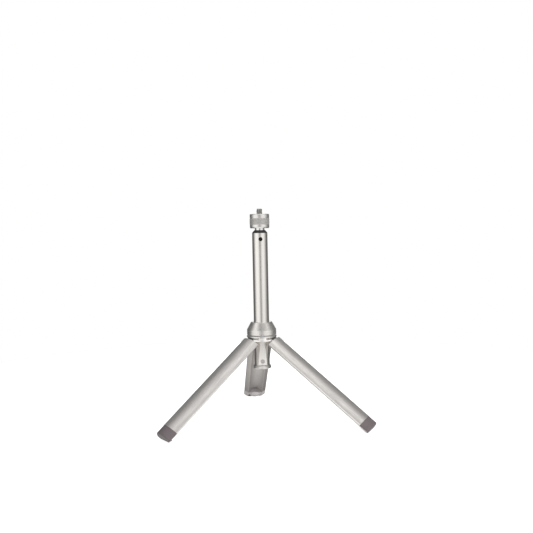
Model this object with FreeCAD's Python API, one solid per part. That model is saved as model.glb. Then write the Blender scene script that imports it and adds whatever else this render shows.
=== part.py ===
import FreeCAD, Part
import math
import os
from FreeCAD import Vector

# Tabletop tripod: three channel legs hinged on a turned hub, a centre column that slides through
# the hub, a rod that telescopes out of the column, and a knurled collar round the camera stud.
# Millimetres, +Z up, origin on the table under the column, rear leg along +Y, button facing -Y.

# Legs
leg_azimuths = {"rear": 90.0, "left": 210.0, "right": 330.0}
open_tilt = 52.0
leg_outer_r = 16.0
leg_inner_r = 9.5
leg_half_arc = 57.0
leg_length = 132.423
leg_edge_chamfer = 1.0
leg_edge_round = 0.35
leg_mouth_chamfer = 0.4
leg_mouth_blank = 0.02
seat_clear = 2.2

# Hinge
pivot_r = 10.2
pin_r = 1.0
pin_fit = 0.05
pin_depth = 7.0
eye_r = 1.85
eye_room = 0.15
knuckle_width = 6.0
knuckle_side_gap = 0.3
tang_start = 2.9
tang_cover = 1.4
tang_thick = 2.6
tang_length = 13.0
pocket_fit = 0.05
knuckle_screw_r = 1.2
knuckle_screw_head_r = 2.3
knuckle_screw_down = 8.0
knuckle_screw_sink = 0.05
knuckle_screw_room = 0.05
cross_width = 0.5
cross_span = 2.2
slot_bend = 0.9
slot_mouth = 1.05
cut_over = 1.0

# Hub base
hub_r = 15.55
base_height = 5.7
seat_height = 4.1
pivot_rise = 3.15
base_edge = 0.25
sleeve_r = 12.0
sleeve_height = 9.4
slide_fit = 0.05
thread_fit = 0.08

# Clamp ring, washer and collet
groove_height = 0.8
washer_r = 15.0
ring_r = 15.3
ring_top_r = 11.0
ring_edge = 0.3
band_height = 5.2
cone_height = 8.15
tube_room = 0.3
collet_wall = 2.15
collet_floor = 1.9
collet_nose = 1.6
collet_drop = 1.0
collet_root = 3.0
collet_top_wall = 0.95
slit_count = 8
slit_width = 0.8
body_gap = 0.3

# Column tube and its end plug
tube_r = 8.0
tube_wall = 1.8
plug_showing = 25.8
tube_above_hub = 92.6
flat_length = 28.0
flat_depth = 1.5
gap_azimuths = (30.0, 150.0, 270.0)
flange_r = 9.2
flange_height = 3.5
flange_edge = 0.5
plug_fit = 0.05
plug_screw_up = 4.25
plug_screw_head_r = 2.05
plug_screw_head = 0.7
plug_screw_r = 1.2
plug_screw_length = 3.6
plug_screw_fit = 0.05
plug_socket_r = 1.0
plug_socket_depth = 0.42

# Column mouth, bushes, release button
mouth_bore_r = 6.9
mouth_depth = 14.0
bush_fit = 0.05
cap_height = 3.0
cap_low_r = 7.85
cap_top_r = 5.65
cap_rim = 0.5
button_down = 6.3
button_r = 2.0
button_room = 0.1
button_proud = 0.35
button_dome_r = 4.4
button_travel = 0.9
plate_thick = 1.0
plate_rear_gap = 0.05
plate_front_gap = 0.1
plate_wall = 0.72
button_spring_wire_r = 0.3

# Extension rod
rod_r = 5.05
rod_wall = 1.0
rod_travel = 100.0
rod_fit = 0.05
piston_height = 6.0
piston_fit = 0.05
neck_height = 2.0

# Head: stem, collar, pad, stud
stem_r = 7.4
stem_height = 3.2
stem_spigot = 10.0
thrust_gap = 0.1
collar_height = 14.75
collar_r = 10.1
collar_knurl_r = 10.28
collar_low_band = 4.0
collar_top_band = 4.55
collar_low_chamfer = (0.75, 1.1)
collar_top_chamfer = (0.45, 0.55)
collar_fit = 0.08
knurl_count = 60
knurl_depth = 0.28
retainer_r = 8.5
retainer_height = 1.1
pad_r = 8.1
pad_height = 0.8
pad_hole_r = 3.6
stud_r = 3.175
stud_root_r = 2.9
stud_tip = 0.5
stud_showing = 5.5
stud_sunk = 7.5

# Feet
cap_length = 10.4
cap_inset = 0.12
cap_spigot = 3.6
cap_spigot_fit = 0.05
cap_spigot_step = 0.3
cap_spigot_lip = 1.0
cap_end_round = 1.6
cap_side_round = 1.2
cap_blank = 0.02
toe_round = 0.5
foot_pad_half = (2.9, 5.9, 4.9)
foot_pad_sink = 0.45
foot_pad_clear = 0.02
foot_screw_r = 1.1
foot_screw_head = 0.8
foot_screw_edge = 0.25
foot_screw_shank_r = 0.7
foot_screw_shank = 3.0
foot_screw_up = 3.2
foot_screw_side = 6.7

# Heights worked out from the sizes above
tilt = math.radians(open_tilt)
tang_inner = leg_inner_r + tang_cover
chord = leg_inner_r * math.cos(math.radians(leg_half_arc))
seat_drop = pivot_rise - seat_height + (hub_r - pivot_r) * math.tan(tilt)
leg_top = seat_drop * math.cos(tilt) + seat_clear
leg_end = leg_top + leg_length
toe_lift = toe_round * (math.sin(tilt) + math.cos(tilt) - 1.0)
pivot_z = leg_end * math.cos(tilt) + (pivot_r - chord) * math.sin(tilt) - toe_lift
base_z = pivot_z - pivot_rise
base_top = base_z + base_height
seat_low_r = hub_r - seat_height / math.tan(tilt)
ring_z = base_top + groove_height
band_top = ring_z + band_height
ring_top = band_top + cone_height
sleeve_top = base_top + sleeve_height
collet_z = base_top + collet_floor
tube_z = base_z - plug_showing
mouth_z = ring_top + tube_above_hub
bush_z = mouth_z - mouth_depth
button_z = mouth_z - button_down
cap_top = mouth_z + cap_height
collar_z = cap_top + neck_height
collar_top = collar_z + collar_height
rod_top = collar_z + body_gap + retainer_height + thrust_gap
rod_z = bush_z - body_gap - rod_travel
plug_top = rod_z - piston_height - body_gap
stem_top = rod_top + stem_height
bore_r = tube_r + slide_fit
joint_down = leg_end - cap_length
foot_pad_reach = math.hypot(foot_pad_half[0] * math.sin(tilt), foot_pad_half[2] * math.cos(tilt))
foot_pad_up = (foot_pad_reach + foot_pad_clear + toe_lift - foot_pad_sink * math.sin(tilt)) / math.cos(tilt)

Z = Vector(0, 0, 1)
ORIGIN = Vector(0, 0, 0)


def turned(points):
    """Solid of revolution about Z from (radius, height) corners."""
    corners = [Vector(r, 0, z) for r, z in points]
    face = Part.Face(Part.makePolygon(corners + [corners[0]]))
    return face.revolve(ORIGIN, Z, 360)


def tube(inner, outer, low, high):
    """Plain ring between two heights."""
    return turned([(inner, low), (outer, low), (outer, high), (inner, high)])


def rod(radius, start, direction, length):
    return Part.makeCylinder(radius, length, start, direction)


def turn(shape, azimuth):
    """Copy of a shape built towards +X, turned to another azimuth."""
    copy = shape.copy()
    copy.rotate(ORIGIN, Z, azimuth)
    return copy


def prism(points, half_width):
    """Prism across the width, from (outward, height) corners in the XZ plane."""
    corners = [Vector(x, -half_width, z) for x, z in points]
    face = Part.Face(Part.makePolygon(corners + [corners[0]]))
    return face.extrude(Vector(0, 2 * half_width, 0))


def save(name, *solids):
    """Write one sub-part, a single solid or a group of identical ones."""
    shape = solids[0] if len(solids) == 1 else Part.makeCompound(list(solids))
    shape.exportStep(os.path.join("parts", name + ".step"))


def as_solid(shape):
    """The single solid inside a boolean result."""
    return shape.Solids[0] if len(shape.Solids) == 1 else shape


def edges_where(shape, test):
    return [edge for edge in shape.Edges if test(edge)]


def hub_body():
    """Base disc with the inverted cone seat, three knuckle slots and the threaded sleeve."""
    body = turned([
        (bore_r, base_z), (seat_low_r, base_z), (hub_r, base_z + seat_height), (hub_r, base_top - base_edge),
        (hub_r - base_edge, base_top), (sleeve_r, base_top), (sleeve_r, sleeve_top - base_edge),
        (sleeve_r - base_edge, sleeve_top), (bore_r + collet_wall + pocket_fit, sleeve_top),
        (bore_r + collet_wall + pocket_fit, collet_z), (bore_r, collet_z)])
    ceiling = pivot_z + eye_r + eye_room
    inside, outside, below = bore_r - cut_over, hub_r + cut_over, base_z - cut_over
    slot = prism([
        (inside, below), (outside, below), (outside, pivot_z + slot_mouth), (pivot_r + slot_bend, ceiling),
        (inside, ceiling)], knuckle_width / 2 + knuckle_side_gap)
    hole = rod(pin_r, Vector(pivot_r, -pin_depth, pivot_z), Vector(0, 1, 0), pin_depth + hub_r)
    for azimuth in leg_azimuths.values():
        body = body.cut(turn(slot, azimuth)).cut(turn(hole, azimuth))
    return as_solid(body)


def hinge_pins():
    """Three dowels, each driven in from one side and ground flush with the hub's cone."""
    envelope = turned([
        (0, base_z), (seat_low_r, base_z), (hub_r, base_z + seat_height), (hub_r, base_top), (0, base_top)])
    pin = rod(pin_r, Vector(pivot_r, -pin_depth, pivot_z), Vector(0, 1, 0), pin_depth + hub_r)
    pin = as_solid(pin.common(envelope))
    return [turn(pin, azimuth) for azimuth in leg_azimuths.values()]


def collet():
    """Split nylon collet that the clamp ring closes on the column."""
    outer = bore_r + collet_wall
    top = sleeve_top + collet_nose
    body = turned([
        (bore_r, collet_z), (outer, collet_z), (outer, sleeve_top - collet_drop),
        (bore_r + collet_top_wall, top), (bore_r, top)])
    low = collet_z + collet_root
    slit = Part.makeBox(outer, slit_width, top - low + cut_over, Vector(bore_r - cut_over, -slit_width / 2, low))
    for step in range(slit_count):
        body = body.cut(turn(slit, (step + 0.5) * 360.0 / slit_count))
    return as_solid(body)


def clamp_ring():
    """Smooth conical ring, turned by hand to lock the column."""
    thread_r = sleeve_r + thread_fit
    thread_top = sleeve_top + body_gap
    nose_r = bore_r + collet_wall + body_gap
    nose_top = sleeve_top + collet_nose + body_gap
    return turned([
        (thread_r, ring_z), (ring_r - ring_edge, ring_z), (ring_r, ring_z + ring_edge), (ring_r, band_top),
        (ring_top_r, ring_top - ring_edge), (ring_top_r - ring_edge, ring_top), (tube_r + tube_room, ring_top),
        (tube_r + tube_room, nose_top), (bore_r + collet_top_wall + body_gap, nose_top),
        (nose_r, thread_top), (thread_r, thread_top)])


def thrust_washer():
    """Black nylon washer that shows as the dark groove of the hub."""
    return tube(sleeve_r + slide_fit, washer_r, base_top, ring_z - slide_fit)


def column_tube():
    """Outer tube with three tapered flats at its foot and a counterbore at its mouth."""
    inner = tube_r - tube_wall
    outside = tube_r + cut_over
    body = turned([
        (inner, tube_z), (tube_r, tube_z), (tube_r, mouth_z), (mouth_bore_r, mouth_z),
        (mouth_bore_r, bush_z), (inner, bush_z)])
    flat = prism([
        (tube_r - flat_depth, tube_z - cut_over), (outside, tube_z - cut_over), (outside, tube_z + flat_length),
        (tube_r, tube_z + flat_length), (tube_r - flat_depth, tube_z)], tube_r)
    hole = plug_screw_axis(plug_screw_r + plug_screw_fit, tube_wall + cut_over, cut_over)
    for azimuth in gap_azimuths:
        body = body.cut(turn(flat, azimuth)).cut(turn(hole, azimuth))
    return as_solid(body.cut(button_window()))


def button_window():
    """Cylinder that clears the release button, from the column's axis outwards."""
    return rod(button_r + button_room, Vector(0, 0, button_z), Vector(0, -1, 0), tube_r + cut_over)


def plug_screw_axis(radius, inward, outward):
    """Cylinder square to a flat of the tube, through the place of its screw."""
    slope = math.atan2(flat_depth, flat_length)
    on_flat = Vector(tube_r - flat_depth + plug_screw_up * math.tan(slope), 0, tube_z + plug_screw_up)
    out = Vector(math.cos(slope), 0, -math.sin(slope))
    return rod(radius, on_flat - out * inward, out, inward + outward)


def plug_screws():
    """Three low-head screws, one on each flat, that hold the end plug."""
    screw = plug_screw_axis(plug_screw_head_r, 0.0, plug_screw_head)
    screw = screw.fuse(plug_screw_axis(plug_screw_r, plug_screw_length, plug_screw_head / 2))
    socket = plug_screw_axis(plug_socket_r, plug_socket_depth - plug_screw_head, plug_screw_head + cut_over)
    screw = as_solid(screw.cut(socket))
    return [turn(screw, azimuth) for azimuth in gap_azimuths]


def end_plug():
    """Plug pressed into the tube's foot, with the stop flange of the column."""
    inner = tube_r - tube_wall - plug_fit
    low = tube_z - flange_height
    body = turned([
        (0, low), (flange_r - flange_edge, low), (flange_r, low + flange_edge), (flange_r, tube_z - flange_edge),
        (flange_r - flange_edge, tube_z), (inner, tube_z), (inner, plug_top - flange_edge),
        (inner - flange_edge, plug_top), (0, plug_top)])
    hole = plug_screw_axis(plug_screw_r, plug_screw_length, plug_screw_head / 2)
    for azimuth in gap_azimuths:
        body = body.cut(turn(hole, azimuth))
    return as_solid(body)


def lower_bush():
    """Guide bush for the rod, on the shoulder of the counterbore."""
    return tube(rod_r + rod_fit, mouth_bore_r - bush_fit, bush_z, button_z - button_r - body_gap)


def mouth_bush():
    """Black conical bush that closes the tube's mouth round the rod."""
    bore = rod_r + rod_fit
    spigot = mouth_bore_r - bush_fit
    low = button_z + plate_thick / 2 + rod_fit
    body = turned([
        (bore, low), (spigot, low), (spigot, mouth_z), (cap_low_r, mouth_z),
        (cap_low_r, mouth_z + cap_rim), (cap_top_r, cap_top), (bore, cap_top)])
    return as_solid(body.cut(button_window()))


def plate_ring():
    """Bore radius, outer radius and centre offset of the lock plate at rest."""
    bore = rod_r + (plate_rear_gap + plate_front_gap + button_travel) / 2
    centre = rod_r + plate_rear_gap - bore
    return bore, bore + plate_wall, centre


def lock_plate():
    """Steel ring round the rod; its rear edge bites on the rod until the button is pressed."""
    bore, outer, centre = plate_ring()
    low = button_z - plate_thick / 2
    plate = Part.makeCylinder(outer, plate_thick, Vector(0, centre, low))
    return plate.cut(Part.makeCylinder(bore, plate_thick, Vector(0, centre, low)))


def release_button():
    """Black domed push button in the tube wall, seated on the lock plate."""
    bore, outer, centre = plate_ring()
    body = rod(button_r, Vector(0, 0, button_z), Vector(0, -1, 0), tube_r + button_proud)
    dome = Part.makeSphere(button_dome_r, Vector(0, button_dome_r - tube_r - button_proud, button_z))
    body = body.common(dome)
    back = Part.makeCylinder(outer, 4 * button_r, Vector(0, centre, button_z - 2 * button_r))
    return as_solid(body.cut(back))


def button_spring():
    """Open wire ring under the lock plate that pushes the button back out."""
    mean = mouth_bore_r - bush_fit - button_spring_wire_r
    low = (button_z - plate_thick / 2 + button_z - button_r - body_gap) / 2
    ring = Part.makeTorus(mean, button_spring_wire_r, Vector(0, 0, low), Z, 0, 360, 300)
    ring.rotate(ORIGIN, Z, -60)
    return ring


def extension_rod():
    """Polished steel tube that telescopes out of the column."""
    return tube(rod_r - rod_wall, rod_r, rod_z, rod_top)


def rod_piston():
    """Nylon piston that guides the rod's lower end and stops it at the lower bush."""
    outer = tube_r - tube_wall - piston_fit
    inner = rod_r - rod_wall
    return turned([
        (0, rod_z - piston_height), (outer, rod_z - piston_height), (outer, rod_z), (inner, rod_z),
        (inner, rod_z + piston_height), (0, rod_z + piston_height)])


def head_stem():
    """Stem in the rod's top, with the flange that the collar turns on."""
    spigot = rod_r - rod_wall
    return turned([
        (0, rod_top - stem_spigot), (spigot, rod_top - stem_spigot), (spigot, rod_top), (stem_r, rod_top),
        (stem_r, stem_top), (0, stem_top)])


def collar_retainer():
    """Ring pressed into the collar's underside, which keeps it on the stem."""
    return tube(rod_r + rod_fit, retainer_r, collar_z + body_gap, collar_z + body_gap + retainer_height)


def stud_pad():
    """Rubber ring round the stud that the accessory is tightened against."""
    return tube(pad_hole_r, pad_r, collar_top - pad_height, collar_top)


def camera_stud():
    """1/4 inch stud, plain at the thread's outer diameter, on the shank pressed into the collar."""
    top = collar_top + stud_showing
    return turned([
        (0, collar_top - stud_sunk), (stud_root_r, collar_top - stud_sunk), (stud_root_r, collar_top),
        (stud_r, collar_top), (stud_r, top - stud_tip),
        (stud_r - stud_tip, top), (0, top)])


def head_collar():
    """Knurled collar that carries the stud and turns with it on the stem."""
    in_low, up_low = collar_low_chamfer
    in_top, down_top = collar_top_chamfer
    knurl_low = collar_z + collar_low_band
    knurl_high = collar_top - collar_top_band
    bore = stem_r + collar_fit
    step_z = collar_z + body_gap + retainer_height
    roof = stem_top + body_gap
    pad_seat = collar_top - pad_height
    shell = turned([
        (retainer_r, collar_z), (collar_r - in_low, collar_z), (collar_r, collar_z + up_low),
        (collar_r, knurl_low), (collar_knurl_r, knurl_low), (collar_knurl_r, knurl_high), (collar_r, knurl_high),
        (collar_r, collar_top - down_top), (collar_r - in_top, collar_top), (pad_r, collar_top), (pad_r, pad_seat),
        (0, pad_seat), (0, roof), (bore, roof), (bore, step_z), (retainer_r, step_z)])
    star = []
    for step in range(2 * knurl_count):
        angle = math.pi * step / knurl_count
        r = collar_knurl_r if step % 2 else collar_knurl_r - knurl_depth
        star.append(Vector(r * math.cos(angle), r * math.sin(angle), knurl_low))
    core = Part.Face(Part.makePolygon(star + [star[0]])).extrude(Vector(0, 0, knurl_high - knurl_low))
    beyond = collar_knurl_r + cut_over
    below, above = collar_z - cut_over, collar_top + cut_over
    keep = Part.makeCylinder(beyond, knurl_low - below, Vector(0, 0, below))
    keep = keep.fuse(Part.makeCylinder(beyond, above - knurl_high, Vector(0, 0, knurl_high))).fuse(core)
    hole = Part.makeCylinder(stud_root_r, above - collar_top + stud_sunk, Vector(0, 0, collar_top - stud_sunk))
    return as_solid(shell.common(keep).cut(hole))


def arc_point(radius, degrees, height):
    angle = math.radians(degrees)
    return Vector(radius * math.cos(angle), radius * math.sin(angle), height)


def channel_face(height):
    """Leg section at a height: two arcs, radial side faces and a chamfer on each outer corner."""
    half = leg_half_arc
    outer, inner = leg_outer_r, leg_inner_r
    edge_r = outer - leg_edge_chamfer
    high = half - math.degrees(leg_edge_chamfer / outer)
    outer_arc = Part.Arc(arc_point(outer, -high, height), arc_point(outer, 0, height), arc_point(outer, high, height))
    inner_arc = Part.Arc(arc_point(inner, half, height), arc_point(inner, 0, height), arc_point(inner, -half, height))
    return Part.Face(Part.Wire([
        outer_arc.toShape(),
        Part.makeLine(arc_point(outer, high, height), arc_point(edge_r, half, height)),
        Part.makeLine(arc_point(edge_r, half, height), arc_point(inner, half, height)),
        inner_arc.toShape(),
        Part.makeLine(arc_point(inner, -half, height), arc_point(edge_r, -half, height)),
        Part.makeLine(arc_point(edge_r, -half, height), arc_point(outer, -high, height))]))


def along_leg(edge):
    """True for a straight edge that runs the length of the leg."""
    ends = edge.Vertexes[-1].Point - edge.Vertexes[0].Point
    return abs(ends.z) > 5.0 and abs(ends.x) + abs(ends.y) < 0.01


def leg_shell():
    """Extruded aluminium channel, cut square and chamfered, with a pocket for the knuckle's tang."""
    length = joint_down - leg_top
    body = channel_face(-joint_down).extrude(Vector(0, 0, length))
    body = body.makeFillet(leg_edge_round, edges_where(body, along_leg))
    wide = leg_outer_r + leg_mouth_blank
    body = as_solid(body.common(turned([
        (0, -leg_end), (wide, -leg_end), (wide, -leg_top - leg_mouth_chamfer), (wide - leg_mouth_chamfer, -leg_top),
        (0, -leg_top)])))
    pocket = prism([
        (tang_inner - pocket_fit, cut_over - leg_top), (tang_inner + tang_thick + pocket_fit, cut_over - leg_top),
        (tang_inner + tang_thick + pocket_fit, -leg_top - tang_length - pocket_fit),
        (tang_inner - pocket_fit, -leg_top - tang_length - pocket_fit)], knuckle_width / 2 + pocket_fit)
    body = body.cut(pocket).cut(knuckle_screw(knuckle_screw_room))
    return as_solid(body)


def knuckle_screw(room=0.0):
    """Countersunk screw from the channel side through the tang."""
    height = -leg_top - knuckle_screw_down
    head_at = leg_inner_r + knuckle_screw_sink
    head_deep = knuckle_screw_head_r - knuckle_screw_r
    wide, slim = knuckle_screw_head_r + room, knuckle_screw_r + room
    head = Part.makeCone(wide, slim, head_deep, Vector(head_at, 0, height), Vector(1, 0, 0))
    shank = rod(slim, Vector(head_at, 0, height), Vector(1, 0, 0), tang_inner + tang_thick - head_at)
    screw = head.fuse(shank)
    if room:
        return screw.fuse(rod(wide, Vector(head_at - cut_over, 0, height), Vector(1, 0, 0), cut_over))
    for across, up in ((cross_span, cross_width), (cross_width, cross_span)):
        screw = screw.cut(Part.makeBox(cross_width, across, up, Vector(head_at, -across / 2, height - up / 2)))
    return as_solid(screw)


def leg_knuckle():
    """Steel hinge lug with its tang, which turns on the pin inside the hub's slot."""
    outer = tang_inner + tang_thick
    half = knuckle_width / 2
    neck = eye_r * math.sqrt(0.5)
    lug = prism([
        (pivot_r - neck, -neck), (pivot_r + eye_r, 0.0), (outer, -tang_start),
        (outer, -leg_top - tang_length), (tang_inner, -leg_top - tang_length), (tang_inner, -tang_start)], half)
    eye = rod(eye_r, Vector(pivot_r, -half, 0), Vector(0, 1, 0), knuckle_width)
    hole = rod(pin_r + pin_fit, Vector(pivot_r, -half, 0), Vector(0, 1, 0), knuckle_width)
    height = -leg_top - knuckle_screw_down
    thread = rod(knuckle_screw_r, Vector(leg_inner_r, 0, height), Vector(1, 0, 0), outer)
    return as_solid(lug.fuse(eye).cut(hole).cut(thread))


def cap_block(low):
    """Cap without its end round: outer arc with rounded lips, radial sides and a flat inner side."""
    outer, inner, half = leg_outer_r - cap_inset, leg_inner_r, leg_half_arc
    arc = Part.Arc(arc_point(outer, -half, low), arc_point(outer, 0, low), arc_point(outer, half, low))
    face = Part.Face(Part.Wire([
        arc.toShape(),
        Part.makeLine(arc_point(outer, half, low), arc_point(inner, half, low)),
        Part.makeLine(arc_point(inner, half, low), arc_point(inner, -half, low)),
        Part.makeLine(arc_point(inner, -half, low), arc_point(outer, -half, low))]))
    block = face.extrude(Vector(0, 0, cap_length))
    lips = [edge for edge in edges_where(block, along_leg)
            if math.hypot(edge.Vertexes[0].X, edge.Vertexes[0].Y) > outer - 0.01]
    return block.makeFillet(cap_side_round, lips)


def end_round(low):
    """Turned blank a hair larger than the cap, with the cap's round end corner."""
    outer = leg_outer_r - cap_inset + cap_blank
    bend = outer - cap_end_round
    middle = cap_end_round * math.sqrt(0.5)
    corner = Part.Arc(
        Vector(bend, 0, low), Vector(bend + middle, 0, low + cap_end_round - middle),
        Vector(outer, 0, low + cap_end_round))
    high = low + cap_length
    return Part.Face(Part.Wire([
        Part.makeLine(Vector(0, 0, low), Vector(bend, 0, low)), corner.toShape(),
        Part.makeLine(Vector(outer, 0, low + cap_end_round), Vector(outer, 0, high)),
        Part.makeLine(Vector(outer, 0, high), Vector(0, 0, high)),
        Part.makeLine(Vector(0, 0, high), Vector(0, 0, low))])).revolve(ORIGIN, Z, 360)


def foot_cap():
    """Rubber end cap, flush with the leg, whose spigot fills the end of the channel."""
    low = -leg_end

    def at_toe(edge):
        box = edge.BoundBox
        return box.ZMax < low + 0.01 and box.XMax < chord + 0.01

    body = cap_block(low)
    body = body.makeFillet(toe_round, edges_where(body, at_toe))
    body = as_solid(body.common(end_round(low)))
    spigot = Part.makeCylinder(leg_inner_r - cap_spigot_fit, cap_spigot, Vector(0, 0, -joint_down))
    ramp_top = leg_inner_r - cap_spigot_lip
    base = chord + cap_spigot_step
    spigot = spigot.common(prism([
        (base, -joint_down), (leg_inner_r, -joint_down), (leg_inner_r, -joint_down + cap_spigot),
        (ramp_top, -joint_down + cap_spigot), (base, -joint_down + cap_spigot_step)], leg_inner_r))
    return as_solid(body.fuse(spigot).cut(foot_screw(True)))


def foot_screw(shank_only=False):
    """Small black screw under one lip of the cap."""
    start = Vector(chord, foot_screw_side, foot_screw_up - leg_end)
    shank = rod(foot_screw_shank_r, start, Vector(1, 0, 0), foot_screw_shank)
    if shank_only:
        return shank
    head = rod(foot_screw_r, start - Vector(foot_screw_head, 0, 0), Vector(1, 0, 0), foot_screw_head)
    rim = edges_where(head, lambda edge: edge.BoundBox.XMax < chord - foot_screw_head + 0.01)
    return as_solid(head.makeFillet(foot_screw_edge, rim).fuse(shank))


def foot_pad(cap):
    """Softer oval pad that swells out of the cap's inner side down to the table."""
    across, wide, long = foot_pad_half
    ball = Part.makeSphere(1.0)
    stretch = FreeCAD.Matrix()
    stretch.scale(across, wide, long)
    ball = ball.transformGeometry(stretch)
    ball.translate(Vector(chord + foot_pad_sink, 0, -leg_end + foot_pad_up))
    outside = ball.cut(cap)
    return min(outside.Solids, key=lambda solid: solid.CenterOfMass.x)


def on_leg(shape, azimuth):
    """Move a piece from the folded leg frame, hung from the pivot, to its open place."""
    placed = shape.copy()
    placed.rotate(Vector(pivot_r, 0, 0), Vector(0, 1, 0), -open_tilt)
    placed.translate(Vector(0, 0, pivot_z))
    placed.rotate(ORIGIN, Z, azimuth)
    return placed


os.makedirs("parts", exist_ok=True)

save("hub_body", hub_body())
save("hinge_pins", *hinge_pins())
save("collet", collet())
save("thrust_washer", thrust_washer())
save("clamp_ring", clamp_ring())
save("column_tube", column_tube())
save("end_plug", end_plug())
save("plug_screws", *plug_screws())
save("lower_bush", lower_bush())
save("mouth_bush", mouth_bush())
save("button_spring", button_spring())
save("lock_plate", lock_plate())
save("release_button", release_button())
save("extension_rod", extension_rod())
save("rod_piston", rod_piston())
save("head_stem", head_stem())
save("collar_retainer", collar_retainer())
save("stud_pad", stud_pad())
save("camera_stud", camera_stud())
save("head_collar", head_collar())

cap = foot_cap()
leg_pieces = {
    "leg_shell": leg_shell(), "knuckle": leg_knuckle(), "knuckle_screw": knuckle_screw(),
    "foot_cap": cap, "foot_pad": foot_pad(cap), "foot_screw": foot_screw()}
for side, azimuth in leg_azimuths.items():
    for name, piece in leg_pieces.items():
        save(side + "_" + name, on_leg(piece, azimuth))

print("pivot height", round(pivot_z, 3), "hub base", round(base_z, 3), "ring top", round(ring_top, 3))
print("tube foot", round(tube_z, 3), "mouth", round(mouth_z, 3), "button", round(button_z, 3))
print("collar", round(collar_z, 3), round(collar_top, 3), "leg top", round(leg_top, 3), "end", round(leg_end, 3))
print("rod foot", round(rod_z, 3), "rod top", round(rod_top, 3), "chord", round(chord, 3))
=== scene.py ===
import math

import bmesh
import bpy
from mathutils import Matrix, Vector


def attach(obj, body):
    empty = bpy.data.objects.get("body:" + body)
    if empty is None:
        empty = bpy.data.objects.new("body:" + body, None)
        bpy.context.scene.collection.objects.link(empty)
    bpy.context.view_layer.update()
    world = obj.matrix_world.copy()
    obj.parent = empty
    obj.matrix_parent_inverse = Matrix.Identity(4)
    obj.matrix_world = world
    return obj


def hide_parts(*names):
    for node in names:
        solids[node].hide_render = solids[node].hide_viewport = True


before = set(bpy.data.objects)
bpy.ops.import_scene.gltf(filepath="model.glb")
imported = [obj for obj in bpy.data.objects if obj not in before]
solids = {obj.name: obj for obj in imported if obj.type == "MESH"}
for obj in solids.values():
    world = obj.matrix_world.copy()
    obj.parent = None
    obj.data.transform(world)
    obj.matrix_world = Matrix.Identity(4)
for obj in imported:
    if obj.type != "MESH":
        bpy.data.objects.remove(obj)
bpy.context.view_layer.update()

# ---------------------------------------------------------------------------
# Column tube: stock 16 mm aluminium tube, bead blasted, polished a little and
# clear anodised. Three tapered flats are milled at its foot between the legs.
# ---------------------------------------------------------------------------
MM = 0.001


def finish_with(piece, material):
    """The piece wears one material."""
    piece.data.materials.clear()
    piece.data.materials.append(material)


def new_group(name, inputs, outputs):
    """Empty shader group with named value, colour or vector sockets."""
    group = bpy.data.node_groups.new(name, "ShaderNodeTree")
    kinds = {"value": "NodeSocketFloat", "colour": "NodeSocketColor", "vector": "NodeSocketVector"}
    for label, kind in inputs:
        group.interface.new_socket(label, in_out="INPUT", socket_type=kinds[kind])
    for label, kind in outputs:
        group.interface.new_socket(label, in_out="OUTPUT", socket_type=kinds[kind])
    return group, group.nodes.new("NodeGroupInput").outputs, group.nodes.new("NodeGroupOutput").inputs


def maths(tree, kind, first, second=None, third=None, clamp=False):
    """One Math node; a number stays a number and a socket is linked."""
    node = tree.nodes.new("ShaderNodeMath")
    node.operation = kind
    node.use_clamp = clamp
    for slot, value in zip(node.inputs, (first, second, third)):
        if hasattr(value, "links"):
            tree.links.new(value, slot)
        elif value is not None:
            slot.default_value = value
    return node.outputs[0]


def noise(tree, vector, scale, detail, roughness):
    """One Noise Texture node."""
    node = tree.nodes.new("ShaderNodeTexNoise")
    node.inputs["Scale"].default_value = scale
    node.inputs["Detail"].default_value = detail
    node.inputs["Roughness"].default_value = roughness
    tree.links.new(vector, node.inputs["Vector"])
    return node.outputs[0]


def vector_maths(tree, kind, vector, other=None):
    """One Vector Math node; the second vector is three numbers or a socket."""
    node = tree.nodes.new("ShaderNodeVectorMath")
    node.operation = kind
    tree.links.new(vector, node.inputs[0])
    if hasattr(other, "links"):
        tree.links.new(other, node.inputs[1])
    elif other is not None:
        node.inputs[1].default_value = other
    return node.outputs["Value" if kind in ("DOT_PRODUCT", "LENGTH") else "Vector"]


def stretched(tree, vector, x, y, z):
    """The vector with its three axes scaled apart, which draws noise out into streaks."""
    return vector_maths(tree, "MULTIPLY", vector, (x, y, z))


def metal_grain():
    """Blasted metal drawn out along Z: fine speckle, fine streaks and slow cloudy drift."""
    group, source, result = new_group(
        "metal grain", [("Vector", "vector"), ("Speckle", "value"), ("Streaks", "value"), ("Drift", "value")],
        [("Tone", "value"), ("Height", "value")])
    speckle = noise(group, source["Vector"], 1500.0, 3.0, 0.65)
    streaks = noise(group, stretched(group, source["Vector"], 1.0, 1.0, 0.03), 1500.0, 3.0, 0.6)
    drift = noise(group, stretched(group, source["Vector"], 1.0, 1.0, 0.35), 130.0, 2.0, 0.5)
    tone = 0.5
    for amount, pattern in (("Speckle", speckle), ("Streaks", streaks), ("Drift", drift)):
        centred = maths(group, "SUBTRACT", pattern, 0.5)
        tone = maths(group, "MULTIPLY_ADD", centred, source[amount], tone)
    group.links.new(maths(group, "MULTIPLY", tone, 1.0, clamp=True), result["Tone"])
    rough = maths(group, "MULTIPLY", speckle, source["Speckle"])
    group.links.new(maths(group, "MULTIPLY_ADD", streaks, source["Streaks"], rough), result["Height"])
    return group


GRAIN = metal_grain()


def place_group(tree, group, **values):
    """The group in a material, with a number or a socket for each of its inputs."""
    node = tree.nodes.new("ShaderNodeGroup")
    node.node_tree = group
    for label, value in values.items():
        socket = node.inputs[label.replace("_", " ")]
        if hasattr(value, "links"):
            tree.links.new(value, socket)
        else:
            socket.default_value = value
    return node.outputs


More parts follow.
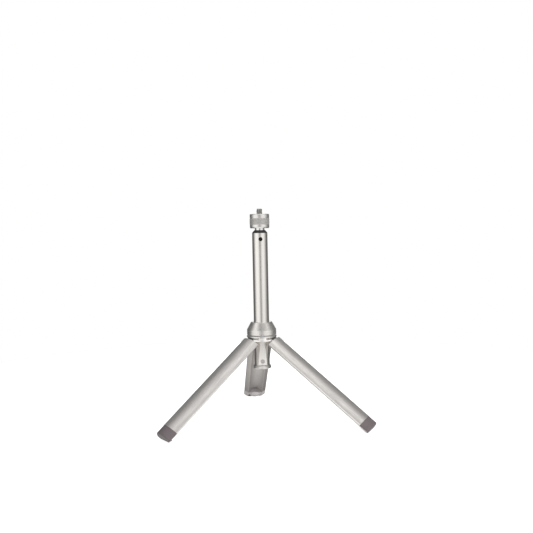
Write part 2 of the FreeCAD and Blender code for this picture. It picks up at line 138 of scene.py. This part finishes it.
def own_vector(tree, place=None):
    """Object coordinates, or the coordinates inside the frame of one leg."""
    where = tree.nodes.new("ShaderNodeTexCoord").outputs["Object"]
    if place is None:
        return where
    mapping = tree.nodes.new("ShaderNodeMapping")
    mapping.vector_type = "TEXTURE"
    mapping.inputs["Location"].default_value = place.to_translation()
    mapping.inputs["Rotation"].default_value = place.to_euler()
    tree.links.new(where, mapping.inputs["Vector"])
    return mapping.outputs[0]


def two_tones(tree, mask, dark, light):
    """Colour between two tones, each three numbers or a socket."""
    node = tree.nodes.new("ShaderNodeMix")
    node.data_type = "RGBA"
    tree.links.new(mask, node.inputs["Factor"])
    for slot, tone in zip(node.inputs[6:8], (dark, light)):
        if hasattr(tone, "links"):
            tree.links.new(tone, slot)
        else:
            slot.default_value = (*tone, 1.0)
    return node.outputs[2]


def spread(tree, mask, low, high):
    """A mask of 0 to 1 moved to another range."""
    node = tree.nodes.new("ShaderNodeMapRange")
    node.inputs["To Min"].default_value = low
    node.inputs["To Max"].default_value = high
    tree.links.new(mask, node.inputs["Value"])
    return node.outputs[0]


def raised(tree, shader, height, depth):
    """Surface relief of a depth in metres."""
    node = tree.nodes.new("ShaderNodeBump")
    node.inputs["Strength"].default_value = 1.0
    node.inputs["Distance"].default_value = depth
    tree.links.new(height, node.inputs["Height"])
    tree.links.new(node.outputs[0], shader.inputs["Normal"])


def plain_material(name, metallic):
    """New material, its node tree and its Principled BSDF."""
    material = bpy.data.materials.new(name)
    material.use_nodes = True
    shader = material.node_tree.nodes["Principled BSDF"]
    shader.inputs["Metallic"].default_value = metallic
    return material, material.node_tree, shader


def grained_metal(name, dark, light, rough, grain, depth, place=None, metallic=1.0):
    """Metal whose tone, roughness and relief all follow its grain of speckle, streaks and drift."""
    material, tree, shader = plain_material(name, metallic)
    speckle, streaks, drift = grain
    pattern = place_group(
        tree, GRAIN, Vector=own_vector(tree, place), Speckle=speckle, Streaks=streaks, Drift=drift)
    tree.links.new(two_tones(tree, pattern["Tone"], dark, light), shader.inputs["Base Color"])
    tree.links.new(spread(tree, pattern["Tone"], rough[0], rough[1]), shader.inputs["Roughness"])
    raised(tree, shader, pattern["Height"], depth * MM)
    return material


satin_tube = grained_metal(
    "satin tube", (0.92, 0.884, 0.842), (0.96, 0.923, 0.882), (0.27, 0.23), (0.10, 0.25, 0.35), 0.0006)
finish_with(solids["column_tube"], satin_tube)

# ---------------------------------------------------------------------------
# End plug: turned aluminium, pressed into the tube's foot. Its flange is the
# stop that the hub meets when the column is pulled up.
# ---------------------------------------------------------------------------
turned_metal = grained_metal(
    "turned aluminium", (0.80, 0.775, 0.745), (0.90, 0.88, 0.85), (0.36, 0.24), (0.25, 0.10, 0.5), 0.0015,
    metallic=0.92)
finish_with(solids["end_plug"], turned_metal)

# ---------------------------------------------------------------------------
# Plug screws: three low-head steel screws with a hexagon socket, one in the
# middle of each flat, square to it.
# ---------------------------------------------------------------------------
FLAT_DEPTH, FLAT_LENGTH = 1.5, 28.0
SCREW_TILT = math.atan2(FLAT_DEPTH, FLAT_LENGTH)
# Where a screw's head sits on its flat, before it is turned to the flat's azimuth.
SCREW_AT = Vector((6.728, 0.0, 64.176)) * MM
FLAT_AZIMUTHS = (30.0, 150.0, 270.0)


def spun(profile, steps, soften=0.0, closed=False):
    """Turned form from (radius, height) corners in mm, with its corners eased before it is spun."""
    form = bmesh.new()
    corners = [form.verts.new((radius * MM, 0.0, height * MM)) for radius, height in profile]
    pairs = list(zip(corners, corners[1:])) + ([(corners[-1], corners[0])] if closed else [])
    for pair in pairs:
        form.edges.new(pair)
    if soften:
        inner = corners if closed else corners[1:-1]
        bmesh.ops.bevel(
            form, geom=inner, offset=soften * MM, offset_type="OFFSET", affect="VERTICES", segments=2,
            profile=0.5, material=-1, clamp_overlap=True)
    bmesh.ops.spin(
        form, geom=form.verts[:] + form.edges[:], cent=(0, 0, 0), axis=(0, 0, 1), dvec=(0, 0, 0),
        angle=2.0 * math.pi, steps=steps, use_merge=True, use_duplicate=False)
    bmesh.ops.remove_doubles(form, verts=form.verts[:], dist=0.0005 * MM)
    bmesh.ops.recalc_face_normals(form, faces=form.faces[:])
    return form


def made_piece(name, form, material, body, replaced, corner=38.0):
    """Object from a finished form, shaded smooth between its corners, in place of the replaced nodes."""
    mesh = bpy.data.meshes.new(name)
    form.to_mesh(mesh)
    form.free()
    for face in mesh.polygons:
        face.use_smooth = True
    mesh.set_sharp_from_angle(angle=math.radians(corner))
    piece = bpy.data.objects.new(name, mesh)
    bpy.context.scene.collection.objects.link(piece)
    finish_with(piece, material)
    even = piece.modifiers.new("even shading", "WEIGHTED_NORMAL")
    even.keep_sharp = True
    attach(piece, body)
    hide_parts(*replaced)
    return piece


def join_forms(forms):
    """Several forms in one."""
    whole = bmesh.new()
    for form in forms:
        mesh = bpy.data.meshes.new("joined")
        form.to_mesh(mesh)
        form.free()
        whole.from_mesh(mesh)
        bpy.data.meshes.remove(mesh)
    return whole


SOCKET_R = 1.0


def socket_screw():
    """Screw with a rounded head; the wall of its round socket is drawn out to six sides."""
    form = spun(
        [(0.0, 0.28), (SOCKET_R, 0.28), (SOCKET_R, 0.70), (1.75, 0.70), (2.05, 0.42), (2.05, 0.0), (1.2, 0.0),
         (1.2, -2.9), (0.0, -2.9)], 48)
    for corner in form.verts:
        radius = math.hypot(corner.co.x, corner.co.y)
        if abs(radius - SOCKET_R * MM) < 0.01 * MM and corner.co.z > 0.2 * MM:
            angle = math.atan2(corner.co.y, corner.co.x) % math.radians(60) - math.radians(30)
            scale = 0.98 / math.cos(angle)
            corner.co.x *= scale
            corner.co.y *= scale
    return form


bright_steel = grained_metal(
    "bright steel", (0.50, 0.49, 0.475), (0.66, 0.65, 0.63), (0.42, 0.28), (0.5, 0.2, 0.3), 0.0015)
screw_forms = []
for azimuth in FLAT_AZIMUTHS:
    screw = socket_screw()
    lean = Matrix.Rotation(math.radians(90.0) + SCREW_TILT, 4, "Y")
    turn = Matrix.Rotation(math.radians(azimuth), 4, "Z")
    screw.transform(turn @ Matrix.Translation(SCREW_AT) @ lean)
    screw_forms.append(screw)
made_piece("socket_screws", join_forms(screw_forms), bright_steel, "column", ["plug_screws"])

# ---------------------------------------------------------------------------
# Mouth bush and lower bush: black nylon. The cone of the mouth bush closes the
# tube round the rod, and the lower bush stands on the step of the bore.
# ---------------------------------------------------------------------------


def painted_corner_shade():
    """Mask of the outer corners, for a painted shade there, from how far a rounded normal leans from the surface's
    own.
    """
    group, source, result = new_group("painted corner shade", [("Width", "value"), ("Gain", "value")], [("Mask", "value")])
    bevel = group.nodes.new("ShaderNodeBevel")
    bevel.samples = 4
    group.links.new(source["Width"], bevel.inputs["Radius"])
    surface = group.nodes.new("ShaderNodeNewGeometry")
    lean = vector_maths(group, "DOT_PRODUCT", bevel.outputs[0], surface.outputs["Normal"])
    turned_away = maths(group, "SUBTRACT", 1.0, lean)
    group.links.new(maths(group, "MULTIPLY", turned_away, source["Gain"], clamp=True), result["Mask"])
    return group


PAINTED_CORNER_SHADE = painted_corner_shade()


def moulded(name, colour, rough, grain_size, depth, sheen=0.0, edge=None, corner_shade_colour=None):
    """Moulded plastic or rubber with a fine spark-eroded skin, and a painted shade on its corners if edge is given."""
    material, tree, shader = plain_material(name, 0.0)
    where = own_vector(tree)
    fine = noise(tree, where, grain_size, 3.0, 0.6)
    cloud = noise(tree, where, grain_size / 14.0, 2.0, 0.5)
    blend = maths(tree, "MULTIPLY_ADD", cloud, 0.6, maths(tree, "MULTIPLY", fine, 0.4))
    dark = [channel * 0.82 for channel in colour]
    light = [channel * 1.18 for channel in colour]
    tone = two_tones(tree, blend, dark, light)
    # Painted shade: the corners take a darker tone.
    if edge:
        corner_shade = place_group(tree, PAINTED_CORNER_SHADE, Width=edge * MM, Gain=2.5)
        tone = two_tones(tree, corner_shade["Mask"], tone, corner_shade_colour)
    tree.links.new(tone, shader.inputs["Base Color"])
    tree.links.new(spread(tree, blend, rough - 0.06, rough + 0.06), shader.inputs["Roughness"])
    shader.inputs["Sheen Weight"].default_value = sheen
    raised(tree, shader, fine, depth * MM)
    return material


black_nylon = moulded("black nylon", (0.028, 0.027, 0.026), 0.38, 5200.0, 0.004)
finish_with(solids["mouth_bush"], black_nylon)
finish_with(solids["lower_bush"], black_nylon)

# ---------------------------------------------------------------------------
# Rod lock: a glossy black button in the tube's wall, the steel lock plate that
# it pushes, and the open wire ring that pushes both back.
# ---------------------------------------------------------------------------
gloss_black = moulded("gloss black", (0.006, 0.006, 0.006), 0.34, 4000.0, 0.001)
gloss_black.node_tree.nodes["Principled BSDF"].inputs["Specular IOR Level"].default_value = 0.22
finish_with(solids["release_button"], gloss_black)
finish_with(solids["lock_plate"], bright_steel)
finish_with(solids["button_spring"], bright_steel)

# ---------------------------------------------------------------------------
# Extension rod: drawn steel tube, ground and polished bright, with a nylon
# piston on its lower end and the turned head stem in its top.
# ---------------------------------------------------------------------------
polished_steel = grained_metal(
    "polished steel", (0.84, 0.83, 0.81), (0.90, 0.89, 0.87), (0.11, 0.07), (0.05, 0.20, 0.4), 0.0003)
finish_with(solids["extension_rod"], polished_steel)
finish_with(solids["rod_piston"], black_nylon)
finish_with(solids["head_stem"], bright_steel)
finish_with(solids["collar_retainer"], bright_steel)

# ---------------------------------------------------------------------------
# Head collar: turned aluminium, the grip that turns with the stud. A fine
# diamond knurl is rolled between two plain bands.
# ---------------------------------------------------------------------------
COLLAR_LOW, COLLAR_TOP = 203.176, 217.926
KNURL_LOW, KNURL_TOP = 207.176, 213.376
KNURL_ROWS, KNURL_STEPS = 14, 180
KNURL_R, KNURL_PEAK_R, KNURL_VALLEY_R = 10.12, 10.28, 9.96


def knurled_collar():
    """The knurl's rows are turned plain; every second corner is then pushed out, and the others in."""
    rows = [(KNURL_R, KNURL_LOW + 0.15 + (KNURL_TOP - KNURL_LOW - 0.3) * row / KNURL_ROWS)
            for row in range(KNURL_ROWS + 1)]
    form = spun(
        [(8.5, COLLAR_LOW + 1.4), (8.5, COLLAR_LOW), (9.35, COLLAR_LOW), (9.45, COLLAR_LOW + 0.06),
         (10.08, COLLAR_LOW + 1.02), (10.1, COLLAR_LOW + 1.14), (10.1, KNURL_LOW - 0.22), (10.04, KNURL_LOW - 0.12),
         (9.9, KNURL_LOW - 0.06), (9.9, KNURL_LOW + 0.04)] + rows
        + [(9.9, KNURL_TOP - 0.04), (9.9, KNURL_TOP + 0.06), (10.04, KNURL_TOP + 0.12), (10.1, KNURL_TOP + 0.22),
           (10.1, COLLAR_TOP - 0.58), (10.06, COLLAR_TOP - 0.50), (9.7, COLLAR_TOP - 0.05), (9.6, COLLAR_TOP),
           (8.16, COLLAR_TOP), (8.1, COLLAR_TOP - 0.06), (8.1, COLLAR_TOP - 0.8), (2.9, COLLAR_TOP - 0.8),
           (2.9, COLLAR_TOP - 7.5), (0.0, COLLAR_TOP - 7.5), (0.0, COLLAR_TOP - 7.9), (7.48, COLLAR_TOP - 7.9),
           (7.48, COLLAR_LOW + 1.4)],
        KNURL_STEPS, closed=True)
    step = 2.0 * math.pi / KNURL_STEPS
    pitch = (KNURL_TOP - KNURL_LOW - 0.3) * MM / KNURL_ROWS
    start = (KNURL_LOW + 0.15) * MM
    for corner in form.verts:
        radius = math.hypot(corner.co.x, corner.co.y)
        row_at = round((corner.co.z - start) / pitch)
        if abs(radius - KNURL_R * MM) < 0.005 * MM and 0 < row_at < KNURL_ROWS:
            column_at = round(math.atan2(corner.co.y, corner.co.x) / step)
            scale = (KNURL_PEAK_R if (column_at + row_at) % 2 else KNURL_VALLEY_R) / KNURL_R
            corner.co.x *= scale
            corner.co.y *= scale
    return form


collar = made_piece(
    "knurled_collar", knurled_collar(), turned_metal, "collar", ["head_collar"], corner=18.0)
# The knurl is rougher, and its darker tone is painted shade between its fine teeth.
knurl_painted_shade = grained_metal(
    "knurled aluminium painted shade", (0.40, 0.385, 0.37), (0.62, 0.605, 0.585), (0.58, 0.46), (0.6, 0.1, 0.6), 0.002, metallic=0.6)
collar.data.materials.append(knurl_painted_shade)
for face in collar.data.polygons:
    if KNURL_LOW * MM < face.center.z < KNURL_TOP * MM and face.center.xy.length > 9.8 * MM:
        face.material_index = 1

# ---------------------------------------------------------------------------
# Stud pad: black rubber washer let into the collar's top, with two fine rings
# moulded in it that grip what is screwed on.
# ---------------------------------------------------------------------------
black_rubber = moulded("black rubber", (0.030, 0.029, 0.028), 0.62, 3800.0, 0.006)
pad_form = spun(
    [(3.6, 217.126), (8.05, 217.126), (8.05, 217.86), (7.95, 217.926), (7.0, 217.926), (6.8, 217.74), (6.5, 217.74),
     (6.3, 217.926), (5.5, 217.926), (5.3, 217.74), (5.0, 217.74), (4.8, 217.926), (3.7, 217.926), (3.6, 217.86)],
    96, closed=True)
made_piece("ringed_pad", pad_form, black_rubber, "collar", ["stud_pad"])

# ---------------------------------------------------------------------------
# Camera stud: 1/4 inch, 20 threads to the inch, in bright steel. Its shank is
# pressed into the collar.
# ---------------------------------------------------------------------------
STUD_LOW, STUD_TOP = 210.426, 223.426
THREAD_PITCH = 1.27


def threaded_stud():
    """Chamfered core with one ridge wound round it, thinned away at both ends."""
    core = spun(
        [(0.0, STUD_LOW), (2.6, STUD_LOW), (2.85, STUD_LOW + 0.25), (2.85, COLLAR_TOP - 1.3), (2.45, COLLAR_TOP - 0.9),
         (2.45, STUD_TOP - 0.35), (2.1, STUD_TOP), (0.0, STUD_TOP)], 64)
    ridge = bmesh.new()
    half = THREAD_PITCH * 0.44 * MM
    low = (COLLAR_TOP - 0.55) * MM
    rounds = (STUD_TOP * MM - 0.62 * MM - low) / (THREAD_PITCH * MM)
    tip = 0.09 * MM
    corners = [ridge.verts.new(place) for place in (
        (2.35 * MM, 0.0, low - half), (3.17 * MM, 0.0, low - tip), (3.17 * MM, 0.0, low + tip),
        (2.35 * MM, 0.0, low + half))]
    face = ridge.faces.new(corners)
    steps = int(rounds * 48)
    bmesh.ops.spin(
        ridge, geom=[face] + face.edges[:] + corners, cent=(0, 0, 0), axis=(0, 0, 1),
        dvec=(0.0, 0.0, rounds * THREAD_PITCH * MM / steps), angle=rounds * 2.0 * math.pi, steps=steps,
        use_merge=False, use_duplicate=False)
    for corner in ridge.verts:
        radius = math.hypot(corner.co.x, corner.co.y)
        if radius > 3.0 * MM:
            from_end = min(corner.co.z - low, low + rounds * THREAD_PITCH * MM - corner.co.z) / (0.5 * MM)
            ease = min(1.0, max(0.0, from_end))
            scale = (2.5 + 0.67 * ease) * MM / radius
            corner.co.x *= scale
            corner.co.y *= scale
    bmesh.ops.recalc_face_normals(ridge, faces=ridge.faces[:])
    return join_forms([core, ridge])


made_piece("threaded_stud", threaded_stud(), bright_steel, "collar", ["camera_stud"])

# ---------------------------------------------------------------------------
# Hub body: turned aluminium disc on an inverted cone that the legs stop on,
# slotted three times for the leg hinges, with steel dowels as hinge pins.
# ---------------------------------------------------------------------------
hub_metal = grained_metal(
    "hub aluminium", (0.83, 0.798, 0.762), (0.93, 0.902, 0.866), (0.30, 0.20), (0.25, 0.10, 0.5), 0.0015,
    metallic=0.92)
finish_with(solids["hub_body"], hub_metal)
# The cone that the legs stop on is finished smoother, and its lighter tone is a painted highlight.
SEAT_SLOPE, SEAT_R = (-0.9, -0.3), 8.6
rubbed_seat_painted_highlight = grained_metal(
    "rubbed aluminium painted highlight", (0.96, 0.935, 0.905), (1.0, 0.98, 0.955), (0.17, 0.11), (0.15, 0.10, 0.4), 0.0008)
solids["hub_body"].data.materials.append(rubbed_seat_painted_highlight)
for face in solids["hub_body"].data.polygons:
    if SEAT_SLOPE[0] < face.normal.z < SEAT_SLOPE[1] and face.center.xy.length > SEAT_R * MM:
        face.material_index = 1
finish_with(solids["hinge_pins"], hub_metal)

# ---------------------------------------------------------------------------
# Clamp ring and its washer: the smooth cone is turned by hand to close the
# split collet on the column. The grey washer shows as the hub's groove.
# ---------------------------------------------------------------------------
ring_form = spun(
    [(12.08, 92.226), (15.0, 92.226), (15.3, 92.526), (15.3, 95.15), (15.22, 95.25), (15.22, 95.32), (15.3, 95.42),
     (15.3, 97.426), (10.97, 105.27), (10.72, 105.576), (8.3, 105.576), (8.3, 102.726), (9.3, 102.726),
     (10.5, 101.126), (12.08, 101.126)], 192, soften=0.06, closed=True)
made_piece("turned_ring", ring_form, hub_metal, "ring", ["clamp_ring"], corner=50.0)
grey_nylon = moulded("grey nylon", (0.20, 0.195, 0.19), 0.34, 5200.0, 0.002)
finish_with(solids["thrust_washer"], grey_nylon)
finish_with(solids["collet"], black_nylon)

# ---------------------------------------------------------------------------
# Legs: extruded aluminium channels, cut square, fine blasted and anodised.
# The drawn streaks of the extrusion run along each leg under the blasting.
# ---------------------------------------------------------------------------
OPEN_TILT = math.radians(52.0)
PIVOT_OUT, PIVOT_UP = 10.2, 88.876
LEGS = {"rear": 90.0, "left": 210.0, "right": 330.0}


def leg_frame(azimuth):
    """Frame of an open leg: X outwards, Y across, Z up its length."""
    hinge = Matrix.Translation(Vector((PIVOT_OUT, 0, PIVOT_UP)) * MM)
    lean = Matrix.Rotation(-OPEN_TILT, 4, "Y")
    back = Matrix.Translation(Vector((-PIVOT_OUT, 0, 0)) * MM)
    return Matrix.Rotation(math.radians(azimuth), 4, "Z") @ hinge @ lean @ back


def line_inside(name, place, material, most, end_material=None):
    """Gives the hollow side of a channel-shaped piece another material, and its upper end a third one.

    Most is how far a face may lean outwards and still count: above 0 it takes in the lips.
    """
    mesh = solids[name].data
    mesh.materials.append(material)
    if end_material:
        mesh.materials.append(end_material)
    back = place.inverted()
    for face in mesh.polygons:
        at = back @ face.center
        way = back.to_3x3() @ face.normal
        if abs(way.z) < 0.5 and way.dot(Vector((at.x, at.y, 0.0)).normalized()) < most:
            face.material_index = 1
        elif end_material and way.z > 0.5:
            face.material_index = 2


# The hollow side and lips of each leg are rougher, and darker as painted shade.
rough_channel_painted_shade = grained_metal(
    "rough channel painted shade", (0.42, 0.398, 0.379), (0.62, 0.59, 0.567), (0.56, 0.44), (0.5, 0.8, 0.5), 0.003)
black_screw = grained_metal(
    "black screw", (0.035, 0.034, 0.033), (0.07, 0.068, 0.066), (0.5, 0.38), (0.5, 0.2, 0.3), 0.002)
dark_steel = grained_metal(
    "dark steel", (0.13, 0.127, 0.124), (0.20, 0.196, 0.192), (0.5, 0.38), (0.5, 0.2, 0.3), 0.002, metallic=0.7)
for side, azimuth in LEGS.items():
    leg_metal = grained_metal(
        side + " leg aluminium", (0.66, 0.636, 0.612), (1.0, 0.963, 0.927), (0.46, 0.34), (1.5, 1.5, 0.6), 0.004,
        leg_frame(azimuth), metallic=0.87)
    finish_with(solids[side + "_leg_shell"], leg_metal)
    line_inside(side + "_leg_shell", leg_frame(azimuth), rough_channel_painted_shade, 0.35)
    finish_with(solids[side + "_knuckle"], dark_steel)
    finish_with(solids[side + "_knuckle_screw"], black_screw)

# ---------------------------------------------------------------------------
# Feet: moulded warm grey rubber caps whose spigots fill the leg ends, a softer
# pale pad on the inner side, and a small black screw under one lip.
# ---------------------------------------------------------------------------
# The caps' outer corners are darkened as a painted shade.
taupe_rubber = moulded(
    "taupe rubber", (0.118, 0.099, 0.102), 0.60, 3000.0, 0.008, sheen=0.05, edge=0.5, corner_shade_colour=(0.06, 0.053, 0.055))
pale_rubber = moulded("pale rubber", (0.50, 0.47, 0.47), 0.66, 3000.0, 0.008, sheen=0.05)
# The spigots' upper ends are lighter as painted light; the rubber is the caps' own.
spigot_painted_light = moulded("spigot rubber painted light", (0.26, 0.235, 0.238), 0.66, 3000.0, 0.008, sheen=0.05)
for side, azimuth in LEGS.items():
    finish_with(solids[side + "_foot_cap"], taupe_rubber)
    line_inside(side + "_foot_cap", leg_frame(azimuth), pale_rubber, 0.2, spigot_painted_light)
    finish_with(solids[side + "_foot_pad"], pale_rubber)
    finish_with(solids[side + "_foot_screw"], black_screw)

# ---------------------------------------------------------------------------
# Table, studio and camera: white ground, a ring of soft light round the piece
# with a grey gap at the lens, a roof of light over it, and two soft lamps.
# ---------------------------------------------------------------------------
# Level directions from the piece: to the lens, and to the right of the picture.
TOWARD = Vector((-0.09427, -0.99555, 0.0))
SIDE = Vector((0.99555, -0.09427, 0.0))


def ramp(tree, value, stops, kind="EASE"):
    """Level read off a row of (place, level) stops."""
    node = tree.nodes.new("ShaderNodeValToRGB")
    node.color_ramp.interpolation = kind
    marks = node.color_ramp.elements
    for end, (place, level) in ((marks[0], stops[0]), (marks[1], stops[-1])):
        end.position = place
        end.color = (level, level, level, 1.0)
    for place, level in stops[1:-1]:
        marks.new(place).color = (level, level, level, 1.0)
    tree.links.new(value, node.inputs[0])
    return node.outputs[0]


def turns(degrees):
    """Place on the ring of light, 0.5 at the lens, of an azimuth seen from the piece."""
    return degrees / 360.0 + 0.5


world = bpy.data.worlds.new("studio")
bpy.context.scene.world = world
world.use_nodes = True
tree = world.node_tree
background = tree.nodes["Background"]
sky = tree.nodes.new("ShaderNodeTexCoord").outputs["Generated"]
sideways, towards = (vector_maths(tree, "DOT_PRODUCT", sky, way) for way in (SIDE, TOWARD))
azimuth_at = maths(tree, "ARCTAN2", sideways, towards)
azimuth_at = maths(tree, "MULTIPLY_ADD", azimuth_at, 0.5 / math.pi, 0.5)
# Round the piece: grey at the lens, bright beside it, dark past both sides, and one
# narrow light behind.
ring = ramp(tree, azimuth_at, [
    (turns(-180), 1.0), (turns(-172), 0.7), (turns(-162), 0.10), (turns(-116), 0.10), (turns(-94), 0.28),
    (turns(-76), 0.88), (turns(-60), 1.06), (turns(-28), 1.04), (turns(-14), 0.62), (turns(-4), 0.33),
    (turns(4), 0.33), (turns(14), 0.62), (turns(28), 0.96), (turns(56), 0.98), (turns(74), 0.72),
    (turns(94), 0.28), (turns(116), 0.12), (turns(162), 0.12), (turns(170), 1.0), (turns(180), 1.0)])
# Overhead: brightest in front, a little to the right.
roof = ramp(tree, azimuth_at, [
    (turns(-180), 0.22), (turns(-135), 0.30), (turns(-95), 0.37), (turns(-40), 0.66), (turns(-5), 1.15),
    (turns(22), 1.65), (turns(45), 1.15), (turns(95), 0.70), (turns(135), 0.34), (turns(180), 0.22)])
# The ring dims with height and gives way to the roof.
height = vector_maths(tree, "DOT_PRODUCT", sky, (0.0, 0.0, 1.0))
ring_fade = ramp(tree, height, [(0.0, 1.0), (0.69, 1.0), (0.78, 0.42), (1.0, 0.42)], "LINEAR")
roof_mask = ramp(tree, height, [(0.0, 0.0), (0.78, 0.0), (0.87, 1.0), (1.0, 1.0)])
# The gap at the lens reaches up to the height that the hub's cone mirrors.
lens_gap = ramp(tree, azimuth_at, [
    (turns(-180), 0.0), (turns(-50), 0.0), (turns(-20), 0.72), (turns(22), 0.72), (turns(60), 0.18),
    (turns(180), 0.0)])
high_up = ramp(tree, height, [(0.0, 0.0), (0.40, 0.0), (0.56, 1.0), (0.72, 1.0), (0.80, 0.0), (1.0, 0.0)])
opened = maths(tree, "SUBTRACT", 1.0, maths(tree, "MULTIPLY", lens_gap, high_up))
# Below table height the ring is dimmer.
half_height = maths(tree, "MULTIPLY_ADD", height, 0.5, 0.5)
under_table = ramp(tree, half_height, [(0.0, 0.55), (0.396, 0.55), (0.420, 1.0), (1.0, 1.0)], "LINEAR")
ring = maths(tree, "MULTIPLY", maths(tree, "MULTIPLY", ring, ring_fade), under_table)
studio = two_tones(tree, roof_mask, maths(tree, "MULTIPLY", ring, opened), roof)


def seen_directly(tree, path):
    """1 for what the camera sees, also through something clear."""
    return maths(tree, "MAXIMUM", path["Is Camera Ray"], path["Is Transmission Ray"])


path = tree.nodes.new("ShaderNodeLightPath").outputs
shown = two_tones(tree, seen_directly(tree, path), studio, (1.0, 1.0, 1.0))
tree.links.new(shown, background.inputs["Color"])

TABLE_R = 0.55
PATCH_MIDDLE = (-0.01, -0.10, 0.0)
floor_form = bmesh.new()
bmesh.ops.create_circle(floor_form, cap_ends=True, segments=96, radius=TABLE_R)
floor_mesh = bpy.data.meshes.new("table_top")
floor_form.to_mesh(floor_mesh)
floor_form.free()
floor = bpy.data.objects.new("table_top", floor_mesh)
bpy.context.scene.collection.objects.link(floor)
paper, tree, shader = plain_material("white paper", 0.0)
shader.inputs["Roughness"].default_value = 0.9
shader.inputs["Specular IOR Level"].default_value = 0.0
shader.inputs["Emission Color"].default_value = (1.0, 1.0, 1.0, 1.0)
# The camera sees white paper. Glossy rays see a plain bright patch, with a painted
# shadow under the column, and pass through the table beyond the patch.
spot = own_vector(tree)
from_middle = vector_maths(tree, "LENGTH", spot)
reach = maths(tree, "MULTIPLY", from_middle, 2.2, clamp=True)
# Painted shadow: the patch is dim under the column.
bright = ramp(tree, from_middle, [(0.0, 0.36), (0.014, 0.38), (0.030, 1.0), (0.2, 1.0), (0.33, 0.85), (1.0, 0.85)])
path = tree.nodes.new("ShaderNodeLightPath").outputs
glow = maths(tree, "MULTIPLY", maths(tree, "MULTIPLY_ADD", reach, 0.4, 0.6), seen_directly(tree, path))
glow = maths(tree, "MULTIPLY_ADD", path["Is Glossy Ray"], bright, glow)
matt = two_tones(tree, path["Is Glossy Ray"], (0.80, 0.80, 0.80), (0.0, 0.0, 0.0))
tree.links.new(matt, shader.inputs["Base Color"])
tree.links.new(glow, shader.inputs["Emission Strength"])
from_patch = vector_maths(tree, "SUBTRACT", spot, PATCH_MIDDLE)
patch = vector_maths(tree, "LENGTH", stretched(tree, from_patch, 1.5, 1.0, 1.0))
beyond = ramp(tree, patch, [(0.0, 0.0), (0.175, 0.0), (0.235, 1.0), (1.0, 1.0)])
open_floor = tree.nodes.new("ShaderNodeBsdfTransparent")
mirrored = tree.nodes.new("ShaderNodeMixShader")
tree.links.new(maths(tree, "MULTIPLY", beyond, path["Is Glossy Ray"]), mirrored.inputs[0])
tree.links.new(shader.outputs[0], mirrored.inputs[1])
tree.links.new(open_floor.outputs[0], mirrored.inputs[2])
tree.links.new(mirrored.outputs[0], tree.nodes["Material Output"].inputs["Surface"])
finish_with(floor, paper)


def soft_lamp(name, place, size, power):
    """Large soft lamp that faces the middle of the piece."""
    data = bpy.data.lights.new(name, "AREA")
    data.shape = "RECTANGLE"
    data.size, data.size_y = size
    data.energy = power
    lamp = bpy.data.objects.new(name, data)
    lamp.location = place
    lamp.rotation_euler = (Vector((0.0, 0.0, 0.10)) - Vector(place)).to_track_quat("-Z", "Y").to_euler()
    lamp.visible_glossy = False
    bpy.context.scene.collection.objects.link(lamp)


soft_lamp("left_softbox", (-1.1, -1.0, 0.9), (1.0, 0.8), 9.0)
soft_lamp("right_softbox", (1.1, -1.0, 0.9), (1.0, 0.8), 24.0)

# The camera stands in front, a little to the left, and leans 1.1 degrees to one side.
EYE = Vector((-65.555, -760.068, 202.844)) * MM
LOOK = Vector((0.094137, 0.994198, -0.052040))
RIGHT = Vector((0.995547, -0.094265, 0.0))
UP = RIGHT.cross(LOOK)
ROLL = math.radians(1.10)
camera_data = bpy.data.cameras.new("camera")
camera_data.sensor_width = 36.0
camera_data.lens = 49.364
camera_data.clip_start = 0.01
camera = bpy.data.objects.new("camera", camera_data)
right = RIGHT * math.cos(ROLL) - UP * math.sin(ROLL)
up = RIGHT * math.sin(ROLL) + UP * math.cos(ROLL)
turned_to = Matrix((right, up, -LOOK)).transposed().to_4x4()
camera.matrix_world = Matrix.Translation(EYE) @ turned_to
bpy.context.scene.collection.objects.link(camera)
bpy.context.scene.camera = camera
bpy.context.scene.view_settings.view_transform = "Standard"
